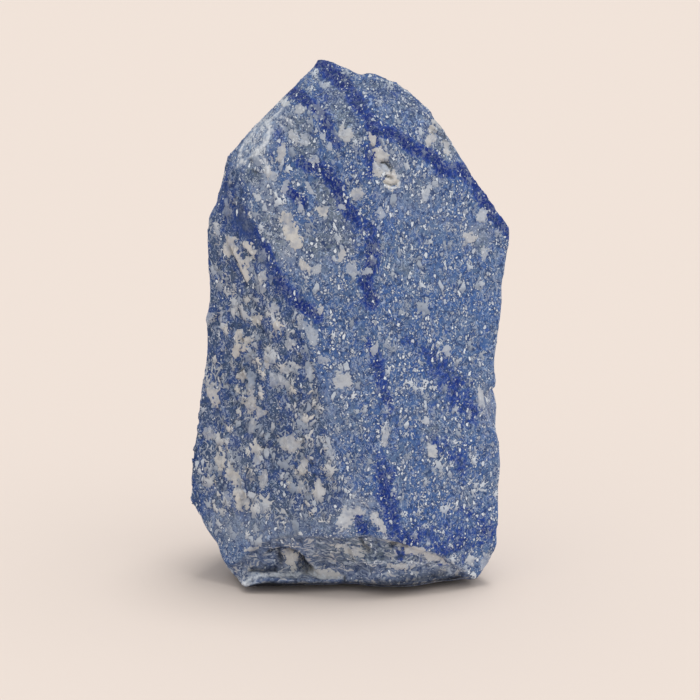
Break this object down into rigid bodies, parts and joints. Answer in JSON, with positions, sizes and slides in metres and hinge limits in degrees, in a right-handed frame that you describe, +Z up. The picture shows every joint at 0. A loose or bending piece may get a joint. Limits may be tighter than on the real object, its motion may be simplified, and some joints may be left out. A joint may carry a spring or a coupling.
{
  "type": "rough blue quartz stone",
  "caption": "Free-standing piece of rough blue quartz with broad broken faces, a leaning crest, an overhang at the foot and a flat base that it rests on.",
  "frame": {"origin": "under the middle of the stone's box, on the surface that it rests on", "axes": "+Z up, -Y towards the broad broken front, +X to the right of someone who looks at the front"},
  "size_m": [0.0574, 0.0372, 0.0937],
  "materials": {
    "blue_quartz": "rough broken quartzite, mid blue with deep blue veins, pale flecks and beige patches"
  },
  "bodies": {
    "root": {"stone": "blue_quartz"}
  },
  "joints": []
}
